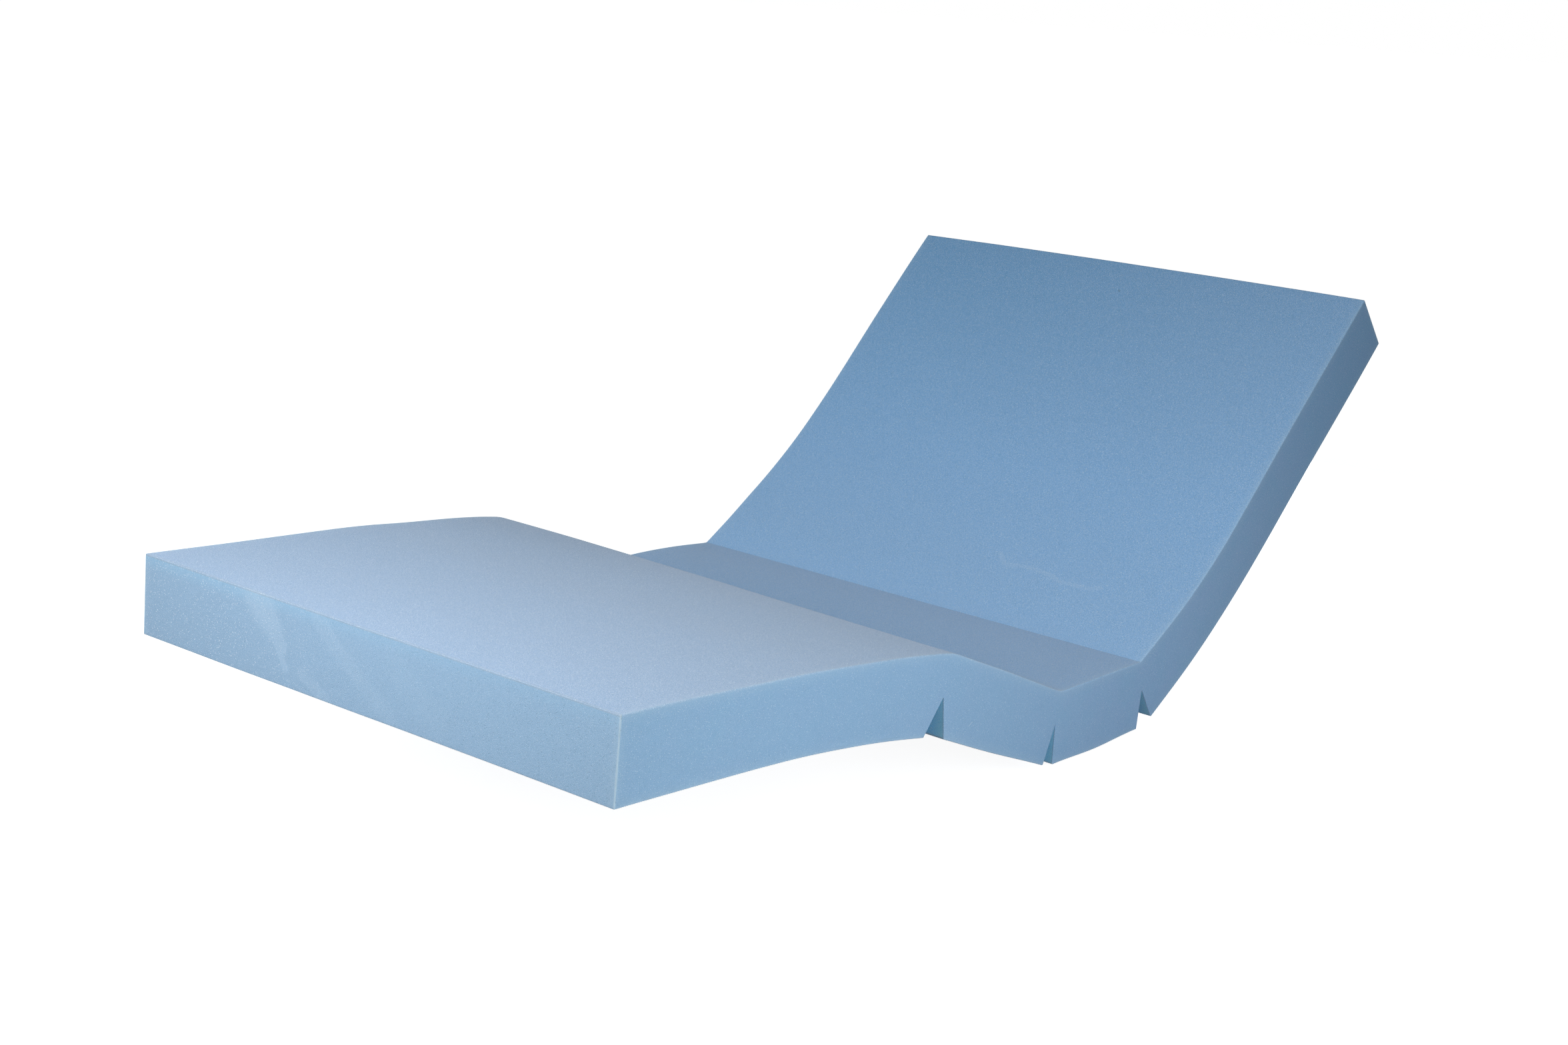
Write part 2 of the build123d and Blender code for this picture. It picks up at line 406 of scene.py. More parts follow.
class Softness:
    """How far the soft block departs from its cut shape.

    Each hump has its place along the block, its reach, and its size in millimetres at the far
    side and at the near side: upwards for the top and the base, and towards the far side for
    the sides.
    """

    def __init__(self, lay):
        self.half_width, self.thickness = lay.sizes.width / 2, lay.sizes.thickness
        self.knee, self.foot, self.head = -lay.knee.at, lay.foot_end, lay.head_end
        fold, crease, loins = -lay.thigh.at, lay.back.at, lay.lumbar.at
        self.top = (
            (self.foot, 0.45, 0, 6.0),
            (-0.26, 0.14, 0, 2.5),
            (-0.06, 0.2, 5.5, 0),
            (crease, 0.1, -2.3, 0),
            (0.55, 0.2, -1.9, 0),
            (self.head, 0.25, 3.7, 0),
        )
        self.base = (
            (self.foot, 0.35, -5.0, 3.7),
            (-0.8, 0.2, 0, 2.2),
            (-0.27, 0.13, 0, -1.3),
            (0, 0.11, 0, -3.5),
            (loins, 0.2, 0, 3.9),
            (0.55, 0.15, 0, -0.9),
        )
        self.sides = (
            (self.foot, 0.4, 4.0, 2.9),
            (self.knee, 0.25, -5.3, 0),
            (fold, 0.15, 1.7, -1.5),
            (crease, 0.15, -2.5, 0),
            (crease, 0.2, 0, 2.0),
            (0.2, 0.08, -1.8, 0),
            (0.45, 0.3, -4.3, 0),
            (self.head, 0.35, 3.6, 0),
            (self.head, 0.4, 0, -4.6),
        )

    def shift(self, flat):
        """The departure of one point of the flat block, along, across and up."""
        x, y, z = flat
        across, height = y / self.half_width, z / self.thickness
        far, near = (1 + across) / 2, (1 - across) / 2

        def total(humps):
            return sum(
                hump(x, place, reach) * (at_far * far + at_near * near)
                for place, reach, at_far, at_near in humps
            )

        # the raised knee stands highest towards its far side
        top = total(self.top) + hump(x, self.knee, 0.22) * (6 + 6 * hump(across, 0.7, 1.7))
        base = total(self.base)

        # the sides run a little askew, and the near side of the back leans out at its top
        side = total(self.sides) - 2.0 * hump(x, 0.5, 0.35) * height * near

        # the foot end is cut askew and the head end bows out
        along = -4.5 * across * hump(x, self.foot, 0.35)
        along += (1.75 - 3.5 * across**2 - 1.9 * across) * hump(x, self.head, 0.25)

        # slow waves of soft foam: a long one, a short one, and one that thins and thickens it
        up = noise.noise(Vector((x * 2.6, y * 2.2, 3.7))) * 0.7
        up += noise.noise(Vector((x * 7.0, y * 6.0, 8.3))) * 0.45
        up += noise.noise(Vector((x * 3.4, y * 3.1, 5.9))) * 0.8 * (height - 0.5)
        bow = noise.noise(Vector((x * 3.2, z * 5.0, 1.3 + copysign(2, across))))
        side += bow * 0.8 * across**2 * copysign(1, across)
        return Vector((along, side, up + top * height + base * (1 - height))) * MM


# ---- making a piece


def steps(low, high, step):
    """Even lines between two ends, without the ends."""
    count = max(1, round((high - low) / step))
    return [low + (high - low) * i / count for i in range(1, count)]


def slab(low, high, base, top):
    """The outline of a square-cut piece, seen from the side."""
    return [(low, base), (high, base), (high, top), (low, top)]


def draw_out(bm, geom, step):
    """Draws part of a mesh out by a step."""
    grown = bmesh.ops.extrude_face_region(bm, geom=geom)["geom"]
    moved = [part for part in grown if isinstance(part, bmesh.types.BMVert)]
    bmesh.ops.translate(bm, verts=moved, vec=step)


def cut_block(sizes, corners):
    """A piece of the flat block with this outline, seen from the side."""
    bm = bmesh.new()
    near_side = -sizes.width / 2
    face = bm.faces.new([bm.verts.new((x, near_side, z)) for x, z in corners])
    draw_out(bm, [face], (0, sizes.width, 0))
    bmesh.ops.recalc_face_normals(bm, faces=bm.faces)
    return bm


def lies_on_neighbour(lay, face):
    """Whether a face of a piece is bonded to the next piece, and so isn't seen."""
    centre, normal = face.calc_center_median(), face.normal
    if abs(normal.z) > SQUARE_ON:
        return 1 * MM < centre.z < lay.sizes.thickness - 1 * MM
    if abs(normal.x) > SQUARE_ON:
        return lay.foot_end + 1 * MM < centre.x < lay.head_end - 1 * MM
    return False


def wear_edges(lay, bm):
    """Rounds the edges that show, as a knife and handling leave them."""
    worn = [
        edge
        for edge in bm.edges
        if len(edge.link_faces) == 2
        and edge.calc_face_angle() > WORN_ANGLE
        and not any(lies_on_neighbour(lay, face) for face in edge.link_faces)
    ]
    bmesh.ops.bevel(
        bm,
        geom=worn,
        offset=lay.sizes.edge_radius,
        offset_type="OFFSET",
        segments=2,
        profile=0.5,
        affect="EDGES",
        clamp_overlap=True,
        material=-1,
    )


def add_lines(bm, axis, places):
    """Cuts lines into the mesh, straight across an axis."""
    low = min(vert.co[axis] for vert in bm.verts)
    high = max(vert.co[axis] for vert in bm.verts)
    normal = [0, 0, 0]
    normal[axis] = 1
    for place in places:
        if low + CLEAR < place < high - CLEAR:
            point = [0, 0, 0]
            point[axis] = place
            bmesh.ops.bisect_plane(
                bm,
                geom=bm.verts[:] + bm.edges[:] + bm.faces[:],
                dist=ON_LINE,
                plane_co=point,
                plane_no=normal,
            )


def line_places(lay):
    """The lines of the mesh, the same on every piece: along, across and up."""
    s = lay.sizes
    along, ends = [], []
    marks = [lay.foot_end, lay.foot_end + EDGE_LINE]
    for bend in (lay.calf, lay.knee, lay.thigh, lay.back, lay.lumbar):
        middle = bend.way * bend.at
        if isinstance(bend, Curve):
            marks += [middle - bend.reach, middle - s.flexing / 2]
            marks += [middle, middle + s.flexing / 2, middle + bend.reach]
        else:
            ends += [middle - bend.reach, middle + bend.reach]
            for near in LINES_BY_A_CUT:
                along += [middle - near * MM, middle + near * MM]
            along.append(middle)
    marks += [lay.head_end - EDGE_LINE, lay.head_end]
    along += marks
    stops = sorted(marks + ends)
    for low, high in zip(stops, stops[1:]):
        along += steps(low, high, s.mesh_step)

    side, top, wide_step = s.width / 2 - EDGE_LINE, s.thickness - EDGE_LINE, 1.6 * s.mesh_step
    over_notch = s.knee_depth + 6 * MM
    across = [-side, side, *steps(-side, side, wide_step)]
    up = [EDGE_LINE, top, *steps(EDGE_LINE, top, s.mesh_step), over_notch]
    return along, across, up


def lay_piece(lay, name, bm):
    """Bends a flat piece to its place at rest and makes it an object."""
    for axis, places in enumerate(line_places(lay)):
        add_lines(bm, axis, places)
    softness = Softness(lay)
    flat_place = bm.verts.layers.float_vector.new(BLOCK_PLACE)
    for vert in bm.verts:
        flat = vert.co.copy()
        vert[flat_place] = flat
        vert.co = lay.place(flat, softness.shift(flat))
    for face in bm.faces:
        face.smooth = True
    for edge in bm.edges:
        edge.smooth = edge.calc_face_angle(0) < SHARP_ANGLE
    mesh = bpy.data.meshes.new(name)
    bm.to_mesh(mesh)
    bm.free()
    piece = bpy.data.objects.new(name, mesh)
    bpy.context.scene.collection.objects.link(piece)
    shading = piece.modifiers.new("Even shading", "WEIGHTED_NORMAL")
    shading.keep_sharp = True
    mesh.materials.append(foam_material())
    return piece


def finish_piece(node):
    """Hides the frame's part that the piece of foam takes the place of."""
    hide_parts(node)


def add_section(lay, node, body, corners):
    """A section of the block. It moves as one with its body."""
    bm = cut_block(lay.sizes, corners)
    wear_edges(lay, bm)
    piece = lay_piece(lay, "foam_" + node, bm)
    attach(piece, body)
    finish_piece(node)


def add_curve(lay, node, curve):
    """The stretch of a curve between two sections, laid at rest."""
    s = lay.sizes
    low, high = curve.at - s.flexing / 2, curve.at + s.flexing / 2
    bm = cut_block(s, slab(curve.way * low, curve.way * high, 0, s.thickness))
    wear_edges(lay, bm)
    piece = lay_piece(lay, "foam_" + node, bm)
    ends = [curve.lie(out, s.thickness / 2)[0] for out in (low, high)]
    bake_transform(piece)
    finish_piece(node)


def add_bridge(lay, node, fold, hold, tongue):
    """The foam over a cut. Hold sets two end points that far from the cut, which are not used.

    A thin tongue under it stays hidden until the joint moves.
    """
    s = lay.sizes
    low, high = fold.way * (fold.at - fold.reach), fold.way * (fold.at + fold.reach)
    bm = cut_block(s, slab(low, high, fold.depth, s.thickness))
    wear_edges(lay, bm)
    underside, inset = fold.depth + 0.1 * MM, 0.4 * MM
    under = [face for face in bm.faces if face.calc_center_median().z < underside]
    bmesh.ops.inset_region(bm, faces=under, thickness=inset, use_even_offset=True)
    bounds = dict.fromkeys(part for face in under for part in (*face.edges, *face.verts))
    draw_out(bm, [*under, *bounds], (0, 0, -tongue))
    piece = lay_piece(lay, "foam_" + node, bm)
    ends = fold.inner.lie(fold.at - hold, fold.depth), fold.outer.lie(fold.at + hold, fold.depth)
    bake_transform(piece)
    finish_piece(node)


# ---- materials


class Value:
    """One number in a node tree. An expression on it adds Math nodes."""

    def __init__(self, tree, socket):
        self.tree, self.socket = tree, socket

    def math(self, operation, *terms):
        node = self.tree.nodes.new("ShaderNodeMath")
        node.operation = operation
        for socket, term in zip(node.inputs, terms):
            plug(self.tree, socket, term)
        return Value(self.tree, node.outputs[0])

    def __add__(self, other):
        return self.math("ADD", self, other)

    def __radd__(self, other):
        return self.math("ADD", other, self)

    def __sub__(self, other):
        return self.math("SUBTRACT", self, other)

    def __rsub__(self, other):
        return self.math("SUBTRACT", other, self)

    def __mul__(self, other):
        return self.math("MULTIPLY", self, other)

    def __rmul__(self, other):
        return self.math("MULTIPLY", other, self)

    def __truediv__(self, other):
        return self.math("DIVIDE", self, other)

    def __pow__(self, other):
        return self.math("POWER", self, other)

    def __abs__(self):
        return self.math("ABSOLUTE", self)

    def least(self, other):
        return self.math("MINIMUM", self, other)

    def most(self, other):
        return self.math("MAXIMUM", self, other)


def plug(tree, socket, value):
    """Links a value to a socket, or sets the socket to a plain number or colour."""
    if isinstance(value, Value):
        value = value.socket
    if isinstance(value, bpy.types.NodeSocket):
        tree.links.new(value, socket)
    elif hasattr(value, "__len__") and len(value) == 3 and socket.type == "RGBA":
        socket.default_value = (*value, 1.0)
    else:
        socket.default_value = value


class NodeSheet:
    """The node tree of one material."""

    # the Mix node's sockets for colours
    FIRST_COLOUR, SECOND_COLOUR, MIXED_COLOUR = 6, 7, 2

    def __init__(self, tree):
        self.tree = tree
        tree.nodes.clear()

    def add(self, kind, settings=None, sockets=None):
        """A node with its settings made first, and then its sockets."""
        node = self.tree.nodes.new(kind)
        for name, value in (settings or {}).items():
            setattr(node, name, value)
        for name, value in (sockets or {}).items():
            plug(self.tree, node.inputs[name], value)
        return node

    def value(self, node, output=0):
        return Value(self.tree, node.outputs[output])

    def noise(self, place, scale, detail=2.0, roughness=0.5):
        """Soft noise from -1 to 1."""
        node = self.add(
            "ShaderNodeTexNoise",
            {"noise_dimensions": "3D"},
            {"Vector": place, "Scale": scale, "Detail": detail, "Roughness": roughness},
        )
        return self.value(node) * 2 - 1

    def cells(self, place, scale):
        """Scattered points: the distance to the nearest, and a chance for each."""
        node = self.add(
            "ShaderNodeTexVoronoi",
            {"voronoi_dimensions": "3D", "feature": "F1"},
            {"Vector": place, "Scale": scale, "Randomness": 1.0},
        )
        chance = self.add("ShaderNodeSeparateColor", {}, {"Color": node.outputs["Color"]})
        return self.value(node, "Distance"), self.value(chance, "Red")

    def ramp(self, value, low, high):
        """0 below low, 1 above high and smooth between. Low may be the larger."""
        node = self.add(
            "ShaderNodeMapRange",
            {"interpolation_type": "SMOOTHSTEP"},
            {"Value": value, "From Min": low, "From Max": high, "To Min": 0.0, "To Max": 1.0},
        )
        return self.value(node)

    def mix(self, factor, first, second):
        """A colour between two others."""
        node = self.add("ShaderNodeMix", {"data_type": "RGBA"}, {"Factor": factor})
        plug(self.tree, node.inputs[self.FIRST_COLOUR], first)
        plug(self.tree, node.inputs[self.SECOND_COLOUR], second)
        return node.outputs[self.MIXED_COLOUR]


def stroke(sheet, first, second, start, end, width):
    """A rubbed or scratched stroke: 1 along its middle and 0 outside its width."""
    run = end[0] - start[0], end[1] - start[1]
    off, rise = first - start[0], second - start[1]
    done = (off * run[0] + rise * run[1]) / (run[0] ** 2 + run[1] ** 2)
    done = done.most(0.0).least(1.0)
    off, rise = off - done * run[0], rise - done * run[1]
    return sheet.ramp(span(off, rise), width, width * 0.45)


def span(first, second):
    """The distance that two sides of a right angle reach."""
    return (first * first + second * second) ** 0.5


class FoamCoat:
    """The colour of the foam, laid over the flat block layer by layer."""

    def __init__(self, sheet, lay, finish):
        self.sheet, self.lay, self.finish = sheet, lay, finish
        sizes = lay.sizes
        source = sheet.add(
            "ShaderNodeAttribute", {"attribute_type": "GEOMETRY", "attribute_name": BLOCK_PLACE}
        )
        self.place = source.outputs["Vector"]
        parts = sheet.add("ShaderNodeSeparateXYZ", {}, {"Vector": self.place})
        self.along, self.across, self.height = (sheet.value(parts, axis) for axis in "XYZ")

        # distance in from the sides, the top, the faces and the ends
        self.from_side = sizes.width / 2 - abs(self.across)
        self.from_top = sizes.thickness - self.height
        self.from_face = self.height.least(self.from_top)
        self.from_foot = self.along - lay.foot_end
        self.from_end = self.from_foot.least(lay.head_end - self.along)

        # which face a point lies on, where the seat goes with the back, whether it is on the
        # rim of the foot end, and how far over it is to the far side
        self.on_foot = sheet.ramp(self.from_foot, 2 * SKIN, SKIN)
        self.on_side = sheet.ramp(self.from_side, 2 * SKIN, SKIN)
        self.on_top = sheet.ramp(self.from_top, 2 * SKIN, SKIN)
        self.on_back = sheet.ramp(self.along, -0.16, -0.08) * self.on_top
        self.lip = sheet.ramp(span(self.from_foot, self.from_top), 3.4 * MM, 1.8 * MM)
        self.far = sheet.ramp(self.across, -0.25, 0.3)

    def tint(self, factor, colour):
        """Lays a colour over what is there."""
        self.colour = self.sheet.mix(factor, self.colour, colour)

    def body(self):
        """The even tone of the foam with light and shade painted into it, which changes from
        face to face.
        """
        sheet, finish = self.sheet, self.finish

        # warmer patches, and painted light for the legs that fades in over the seat: a painted
        # sheen on their lying face and a painted tone on their ends and sides
        patches = sheet.noise(self.place, PATCHES, 3.0, 0.6)
        self.colour = sheet.mix(sheet.ramp(patches, -0.6, 0.6), finish.colour, finish.lilac)
        on_legs = sheet.ramp(self.along, 0.15, -0.3)
        self.tint(on_legs * self.on_top, finish.painted_leg_sheen)
        self.tint(on_legs * (1 - self.on_top) * (1 - self.on_side * 0.4), finish.painted_end_light)

        # painted light: light soaks in under the rim of the foot end
        painted_light_band = sheet.ramp(self.from_top, 24 * MM, 3 * MM) * self.on_foot * (1 - self.lip)
        self.tint(painted_light_band * (0.06 + 0.1 * self.far), finish.painted_soak_light)

        # the back's lying face gets its painted tone; painted shade darkens the back towards its
        # far corner, and the knee towards its far end
        self.tint(self.on_back, finish.painted_back_light)
        corner = (self.on_top * sheet.ramp(self.across, -0.6, 0.4)).most(self.on_side * 0.7)
        self.tint(sheet.ramp(self.along, 0.25, 0.95) * corner * 0.3, finish.painted_shade)
        # painted shade towards the far end of the knee crest
        painted_shade_crest = sheet.ramp(abs(self.along + self.lay.knee.at), 0.22, 0.04)
        painted_shade_crest = painted_shade_crest * sheet.ramp(self.across, -0.05, 0.4)
        self.tint(painted_shade_crest * self.on_top * 0.2, finish.dark_cell_and_shade)

        # painted light: just above the crease the back is paler, in the colour of the smears
        low = sheet.ramp(self.along, 0.5, 0.12) * self.on_back
        self.tint(low * sheet.ramp(self.along, 0.11, 0.13) * 0.1, finish.smear_and_light)

    def cuts(self):
        """Painted shade, a deeper blue, inside the cuts, and painted light, brighter, where
        light soaks in at their mouths.
        """
        sheet, finish = self.sheet, self.finish
        buried = self.from_side.least(self.from_face).least(self.from_end)
        shallow = sheet.ramp(self.from_side, 26 * MM, 0.0)
        inner = sheet.mix(shallow, finish.painted_cut_shade, finish.painted_soak_light)
        self.tint(sheet.ramp(buried, SKIN, 2.5 * SKIN), inner)

    def marks(self):
        """Pale rubbed marks on the foot end, the back and the side, and a dark dot."""
        sheet, finish = self.sheet, self.finish
        along, across, height = self.along, self.across, self.height
        ragged = sheet.noise(self.place, RAGS, 3.0, 0.6)

        foot_across, foot_height = across + ragged * 5 * MM, height + ragged * 4 * MM
        rubbed = 0.0
        for start, end, width, strength in FOOT_MARKS:
            mark = stroke(sheet, foot_across, foot_height, start, end, width)
            rubbed = (mark * strength).most(rubbed)
        self.tint(rubbed * self.on_foot, finish.smear_and_light)

        scar = 0.0
        for start, end in zip(BACK_SCAR, BACK_SCAR[1:]):
            scar = stroke(sheet, across, along + ragged * 4 * MM, start, end, 6 * MM).most(scar)
        self.tint(scar * self.on_top * (0.1 + ragged * 0.07), finish.speck)

        half = self.lay.sizes.width / 2
        near_side = sheet.ramp(across, 1 * MM - half, -half)
        scratch = stroke(sheet, along, height, *SCRATCH, 1.2 * MM)
        self.tint(scratch * near_side * 0.3, finish.speck)

        stain = stroke(sheet, across, along, *STAIN, 2.6 * MM)
        self.tint(stain * self.on_top * 0.5, finish.dark_cell_and_shade)

    def blotches(self):
        """Faint blotches everywhere, and faint streaks across the back."""
        sheet, finish = self.sheet, self.finish
        blotch = sheet.noise(self.place, BLOTCHES, 3.0, 0.65)
        drawn_out = {0: self.place, 1: (1, 0.07, 1)}
        pulled = sheet.add("ShaderNodeVectorMath", {"operation": "MULTIPLY"}, drawn_out)
        streak = sheet.noise(pulled.outputs["Vector"], STREAKS, 3.0, 0.6)
        streak = streak * self.on_top * sheet.ramp(self.along, 0.25, 0.75)
        blotch = blotch + streak * 0.8
        self.tint(sheet.ramp(blotch, 0.0, 1.0) * 0.09, finish.speck)
        self.tint(sheet.ramp(blotch, 0.0, -1.0) * 0.12, finish.dark_cell_and_shade)

    def cells(self):
        """The fine cells. Returns their relief."""
        sheet, finish = self.sheet, self.finish
        grain = sheet.noise(self.place, GRAINS, 2.0, 0.8)
        cell, _ = sheet.cells(self.place, CELLS)
        fine = grain * 0.5 + (cell - 0.5) + sheet.noise(self.place, LUMPS, 1.0) * 0.12
        rough = finish.grain * (1 + 1.25 * self.on_top)
        self.tint(sheet.ramp(fine, 0.0, 0.9) * rough, finish.speck)
        self.tint(sheet.ramp(fine, 0.0, -0.9) * rough * 1.1, finish.dark_cell_and_shade)
        return fine

    def specks(self):
        """Cells that catch the light, small ones and large, and open pits. Returns the pits."""
        sheet, finish = self.sheet, self.finish
        on_foot, off_lip = self.on_foot, 1 - self.lip

        distance, chance = sheet.cells(self.place, SMALL_SPECKS)
        bright = sheet.ramp(distance, 0.36, 0.12) * (0.12 + sheet.ramp(chance, 0.3, 1.0) ** 3)
        crowd = (0.6 + 0.2 * self.on_side) * (1 - on_foot) + on_foot * (0.35 + 1.25 * self.far)
        self.tint(bright * crowd * finish.specks, finish.speck)

        distance, chance = sheet.cells(self.place, LARGE_SPECKS)
        bright = sheet.ramp(distance, 0.45, 0.2) * sheet.ramp(chance, 0.3, 1.0) ** 2
        crowd = on_foot * (0.1 + 0.8 * self.far**2) + self.on_top * (0.8 - 0.3 * self.on_back)
        self.tint(bright * crowd * off_lip * finish.specks, finish.speck)

        distance, chance = sheet.cells(self.place, PITS)
        pits = sheet.ramp(distance, 0.48, 0.2) * sheet.ramp(chance, 0.4, 0.9) ** 2
        pits = pits * (0.15 + 1.2 * on_foot * (1 - self.far * 0.8)) * off_lip
        self.tint(pits * finish.pits, finish.dark_cell_and_shade)
        return pits

    def edges(self):
        """Worn edges: pale along the upright corners and fainter along the faces; and a darker
        rim at the top of the foot end.
        """
        sheet, finish = self.sheet, self.finish
        wander = 1 + 0.35 * sheet.noise(self.place, WANDERS, 2.0)
        upright = span(self.from_end, self.from_side)
        brim = span(self.from_side, self.from_face)
        line = sheet.ramp(upright / wander, 2.8 * MM, 0.6 * MM) * 0.7
        line = line.most(sheet.ramp(brim / wander, 5.0 * MM, 0.5 * MM) * 0.2)

        glow = sheet.ramp(upright.least(brim), 17 * MM, 0.0)
        self.tint(glow * 0.13, finish.edge)
        self.tint(line, finish.edge)
        # the rim at the top of the foot end is darker
        self.tint(self.lip * 0.4, finish.rim)


def foam_material():
    """Open-cell foam: fine cells, bright and dark specks, and pale worn edges, over painted
    light and shade.
    """
    if FOAM in bpy.data.materials:
        return bpy.data.materials[FOAM]
    scene = bpy.context.scene
    material = bpy.data.materials.new(FOAM)
    material.use_nodes = True
    sheet = NodeSheet(material.node_tree)
    coat = FoamCoat(sheet, Lay(scene.block_sizes), scene.foam_finish)
    coat.body()
    coat.cuts()
    coat.marks()
    coat.blotches()
    fine = coat.cells()
    pits = coat.specks()
    coat.edges()

    relief = {"Strength": 0.5, "Distance": 0.5 * MM, "Height": fine - pits * 1.5}
    bump = sheet.add("ShaderNodeBump", {}, relief)
    foam = sheet.add(
        "ShaderNodeBsdfPrincipled",
        {},
        {
            "Base Color": coat.colour,
            "Roughness": 0.72,
            "Specular IOR Level": 0.15,
            "Sheen Weight": 0.26,
            "Sheen Roughness": 0.5,
            "Sheen Tint": (1.0, 0.97, 0.97),
            "Normal": bump.outputs["Normal"],
        },
    )
    sheet.add("ShaderNodeOutputMaterial", {}, {"Surface": foam.outputs["BSDF"]})
    return material


def paper_material(look):
    """White paper that the camera sees as the backdrop, a little darker under the mattress."""
    paper = bpy.data.materials.new("white_paper")
    paper.use_nodes = True
    sheet = NodeSheet(paper.node_tree)
    path = sheet.add("ShaderNodeLightPath")
    matt = sheet.add("ShaderNodeBsdfDiffuse", {}, {"Color": look.paper})
    spot = sheet.add("ShaderNodeTexCoord").outputs["Object"]
    reach = sheet.add("ShaderNodeVectorMath", {"operation": "LENGTH"}, {0: spot})
    near = sheet.ramp(sheet.value(reach, "Value"), 3.5, 1.2)
    white = sheet.mix(near, look.backdrop, look.near_floor)
    shine = sheet.add("ShaderNodeEmission", {}, {"Color": white, "Strength": 1.0})
    both = {0: matt.outputs["BSDF"], 1: shine.outputs["Emission"]}
    seen = sheet.add("ShaderNodeAddShader", {}, both).outputs["Shader"]
    choice = {0: path.outputs["Is Camera Ray"], 1: matt.outputs["BSDF"], 2: seen}
    pick = sheet.add("ShaderNodeMixShader", {}, choice)
    sheet.add("ShaderNodeOutputMaterial", {}, {"Surface": pick.outputs["Shader"]})
    return paper


# ---- operators


class MATTRESS_OT_leg_sections(Operator):
    """Make the foot, calf and thigh sections"""

    bl_idname = "mattress.leg_sections"
    bl_label = "Leg Sections"

    def execute(self, context):
        s = context.scene.block_sizes
        lay = Lay(s)
        top, flexed = s.thickness, lay.calf.at - s.flexing / 2
        foot = -(lay.calf.at + s.flexing / 2)
        add_section(lay, "foot_section", "foot", slab(lay.foot_end, foot, 0, top))
        knee, thigh = -lay.knee.at, -lay.thigh.at
        add_section(
            lay,
            "calf_section",
            "calf",
            [
                (-flexed, 0),
                (knee - s.knee_width / 2, 0),
                (knee, s.knee_depth),
                (knee - s.knee_reach, s.knee_depth),
                (knee - s.knee_reach, top),
                (-flexed, top),
            ],
        )
        add_section(
            lay,
            "thigh_section",
            "thigh",
            [
                (knee + s.knee_width / 2, 0),
                (thigh - s.thigh_width / 2, 0),
                (thigh, s.slit_depth),
                (thigh - s.thigh_reach, s.slit_depth),
                (thigh - s.thigh_reach, top),
                (knee + s.knee_reach, top),
                (knee + s.knee_reach, s.knee_depth),
                (knee, s.knee_depth),
            ],
        )
        return {"FINISHED"}


class MATTRESS_OT_seat_section(Operator):
    """Make the level seat between the two slits"""

    bl_idname = "mattress.seat_section"
    bl_label = "Seat Section"

    def execute(self, context):
        s = context.scene.block_sizes
        lay = Lay(s)
        foot, head, top = -s.seat / 2, s.seat / 2, s.thickness
        add_section(
            lay,
            "seat_section",
            "seat",
            [
                (foot + s.thigh_width / 2, 0),
                (head - s.back_width / 2, 0),
                (head, s.slit_depth),
                (head - s.back_reach, s.slit_depth),
                (head - s.back_reach, top),
                (foot + s.thigh_reach, top),
                (foot + s.thigh_reach, s.slit_depth),
                (foot, s.slit_depth),
            ],
        )
        return {"FINISHED"}


class MATTRESS_OT_back_sections(Operator):
    """Make the lumbar and back sections"""

    bl_idname = "mattress.back_sections"
    bl_label = "Back Sections"

    def execute(self, context):
        s = context.scene.block_sizes
        lay = Lay(s)
        crease, top = lay.back.at, s.thickness
        flexed, back = lay.lumbar.at - s.flexing / 2, lay.lumbar.at + s.flexing / 2
        add_section(
            lay,
            "lumbar_section",
            "lumbar",
            [
                (crease + s.back_width / 2, 0),
                (flexed, 0),
                (flexed, top),
                (crease + s.back_reach, top),
                (crease + s.back_reach, s.slit_depth),
                (crease, s.slit_depth),
            ],
        )
        add_section(lay, "back_section", "back", slab(back, lay.head_end, 0, top))
        return {"FINISHED"}


class MATTRESS_OT_bridges(Operator):
    """Make the foam that is left over the cuts"""

    bl_idname = "mattress.bridges"
    bl_label = "Bridges"

    def execute(self, context):
        lay = Lay(context.scene.block_sizes)
        knee, thigh, back = lay.knee, lay.thigh, lay.back
        add_bridge(lay, "knee_bridge", knee, hold=28 * MM, tongue=0.7 * MM)
        add_bridge(lay, "thigh_bridge", thigh, hold=20 * MM, tongue=0.9 * MM)
        add_bridge(lay, "back_bridge", back, hold=24 * MM, tongue=1.4 * MM)
        return {"FINISHED"}


class MATTRESS_OT_curves(Operator):
    """Make the stretches that flex in the calf and in the lower back"""

    bl_idname = "mattress.curves"
    bl_label = "Curves"

    def execute(self, context):
        lay = Lay(context.scene.block_sizes)
        add_curve(lay, "calf_curve", lay.calf)
        add_curve(lay, "lumbar_curve", lay.lumbar)
        return {"FINISHED"}


# ---- the stage


def add_camera(look):
    """The camera at its place, turned, tilted and rolled."""
    scene = bpy.context.scene
    lens = bpy.data.cameras.new("camera")
    lens.sensor_width, lens.lens = 36.0, look.focal_length
    camera = bpy.data.objects.new("camera", lens)
    scene.collection.objects.link(camera)
    camera.matrix_world = (
        Matrix.Translation(look.camera_place)
        @ Matrix.Rotation(-look.camera_turn, 4, "Z")
        @ Matrix.Rotation(pi / 2 - look.camera_tilt, 4, "X")
        @ Matrix.Rotation(look.camera_roll, 4, "Z")
    )
    scene.camera = camera


def add_floor(look):
    """A wide floor of white paper, just under the seat."""
    bm = bmesh.new()
    bmesh.ops.create_grid(bm, x_segments=1, y_segments=1, size=60)
    bmesh.ops.translate(bm, verts=bm.verts, vec=(0, 0, -look.floor_drop))
    mesh = bpy.data.meshes.new("floor")
    bm.to_mesh(mesh)
    bm.free()
    floor = bpy.data.objects.new("floor", mesh)
    bpy.context.scene.collection.objects.link(floor)
    mesh.materials.append(paper_material(look))


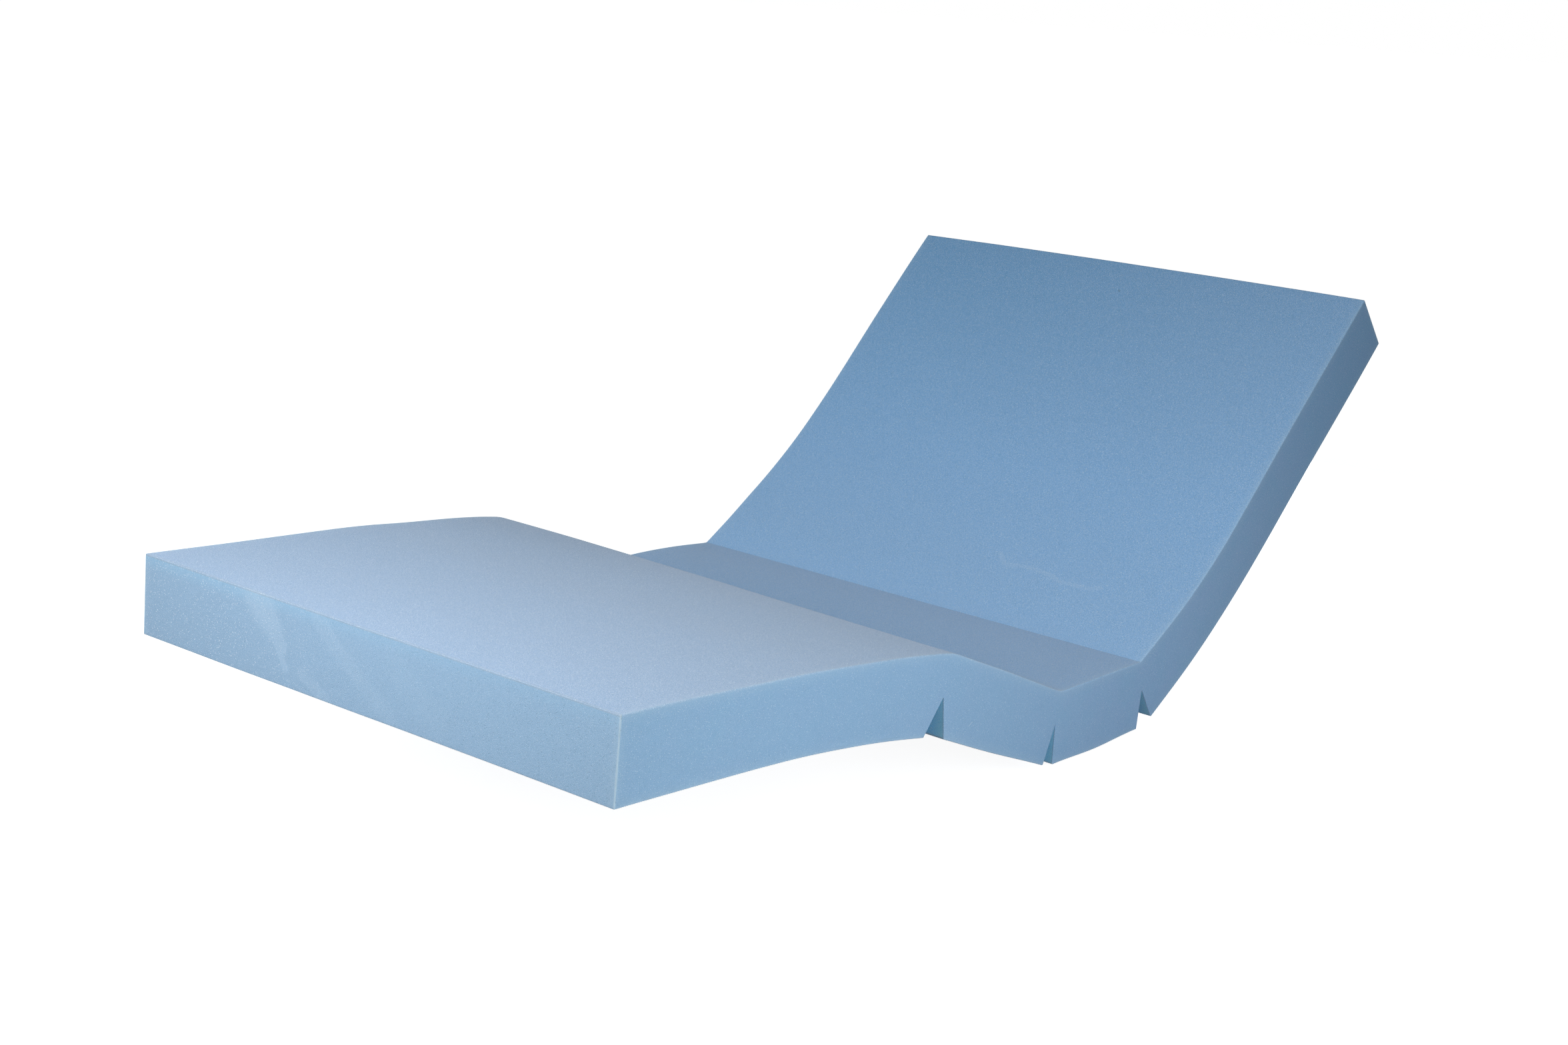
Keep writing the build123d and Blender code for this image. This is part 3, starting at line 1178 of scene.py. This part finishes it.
def add_air(look):
    """Faint light from all around, which the camera and the sheen see as the backdrop."""
    world = bpy.data.worlds.new("studio")
    bpy.context.scene.world = world
    world.use_nodes = True
    sheet = NodeSheet(world.node_tree)
    path = sheet.add("ShaderNodeLightPath")
    seen = sheet.value(path, "Is Camera Ray").most(sheet.value(path, "Is Glossy Ray"))
    colour = sheet.mix(seen, look.air, look.backdrop)
    light = sheet.add("ShaderNodeBackground", {}, {"Color": colour, "Strength": 1.0})
    sheet.add("ShaderNodeOutputWorld", {}, {"Surface": light.outputs["Background"]})


def add_lamp(name, place, target, size, power, colour):
    """A soft square lamp that faces its target."""
    lamp = bpy.data.lights.new(name, "AREA")
    lamp.shape, lamp.size, lamp.energy, lamp.color = "SQUARE", size, power, colour
    holder = bpy.data.objects.new(name, lamp)
    bpy.context.scene.collection.objects.link(holder)
    holder.visible_camera = False
    facing = (Vector(target) - Vector(place)).to_track_quat("-Z", "Y")
    holder.matrix_world = Matrix.Translation(place) @ facing.to_matrix().to_4x4()


class MATTRESS_OT_stage(Operator):
    """Make the camera, the lamps, the floor and the backdrop"""

    bl_idname = "mattress.stage"
    bl_label = "Stage"

    def execute(self, context):
        look = context.scene.stage_look
        add_camera(look)
        add_floor(look)
        add_air(look)
        for name, (place, target, power, colour) in LAMPS.items():
            add_lamp(name, place, target, look.lamp_size, power, colour)
        context.scene.view_settings.view_transform = "Standard"
        return {"FINISHED"}


# ---- the panel, and the making


class MATTRESS_PT_panel(Panel):
    """Lists the steps that make the mattress"""

    bl_idname = "MATTRESS_PT_panel"
    bl_label = "Foam Mattress"
    bl_space_type = "VIEW_3D"
    bl_region_type = "UI"
    bl_category = "Mattress"

    def draw(self, context):
        column = self.layout.column()
        for step in STEPS:
            column.operator(step.bl_idname)
        for group in GROUPS:
            settings = getattr(context.scene, group)
            for name in settings.__annotations__:
                column.prop(settings, name)


STEPS = (
    MATTRESS_OT_leg_sections,
    MATTRESS_OT_seat_section,
    MATTRESS_OT_back_sections,
    MATTRESS_OT_bridges,
    MATTRESS_OT_curves,
    MATTRESS_OT_stage,
)
GROUPS = {
    "block_sizes": BlockSizes,
    "foam_finish": FoamFinish,
    "stage_look": StageLook,
}


def register():
    for group in GROUPS.values():
        bpy.utils.register_class(group)
    for name, group in GROUPS.items():
        setattr(bpy.types.Scene, name, PointerProperty(type=group))
    for step in STEPS:
        bpy.utils.register_class(step)
    bpy.utils.register_class(MATTRESS_PT_panel)


def unregister():
    bpy.utils.unregister_class(MATTRESS_PT_panel)
    for step in reversed(STEPS):
        bpy.utils.unregister_class(step)
    for name, group in reversed(GROUPS.items()):
        delattr(bpy.types.Scene, name)
        bpy.utils.unregister_class(group)


def main():
    register()
    bpy.ops.mattress.leg_sections()
    bpy.ops.mattress.seat_section()
    bpy.ops.mattress.back_sections()
    bpy.ops.mattress.bridges()
    bpy.ops.mattress.curves()
    bpy.ops.mattress.stage()


if __name__ == "__main__":
    main()
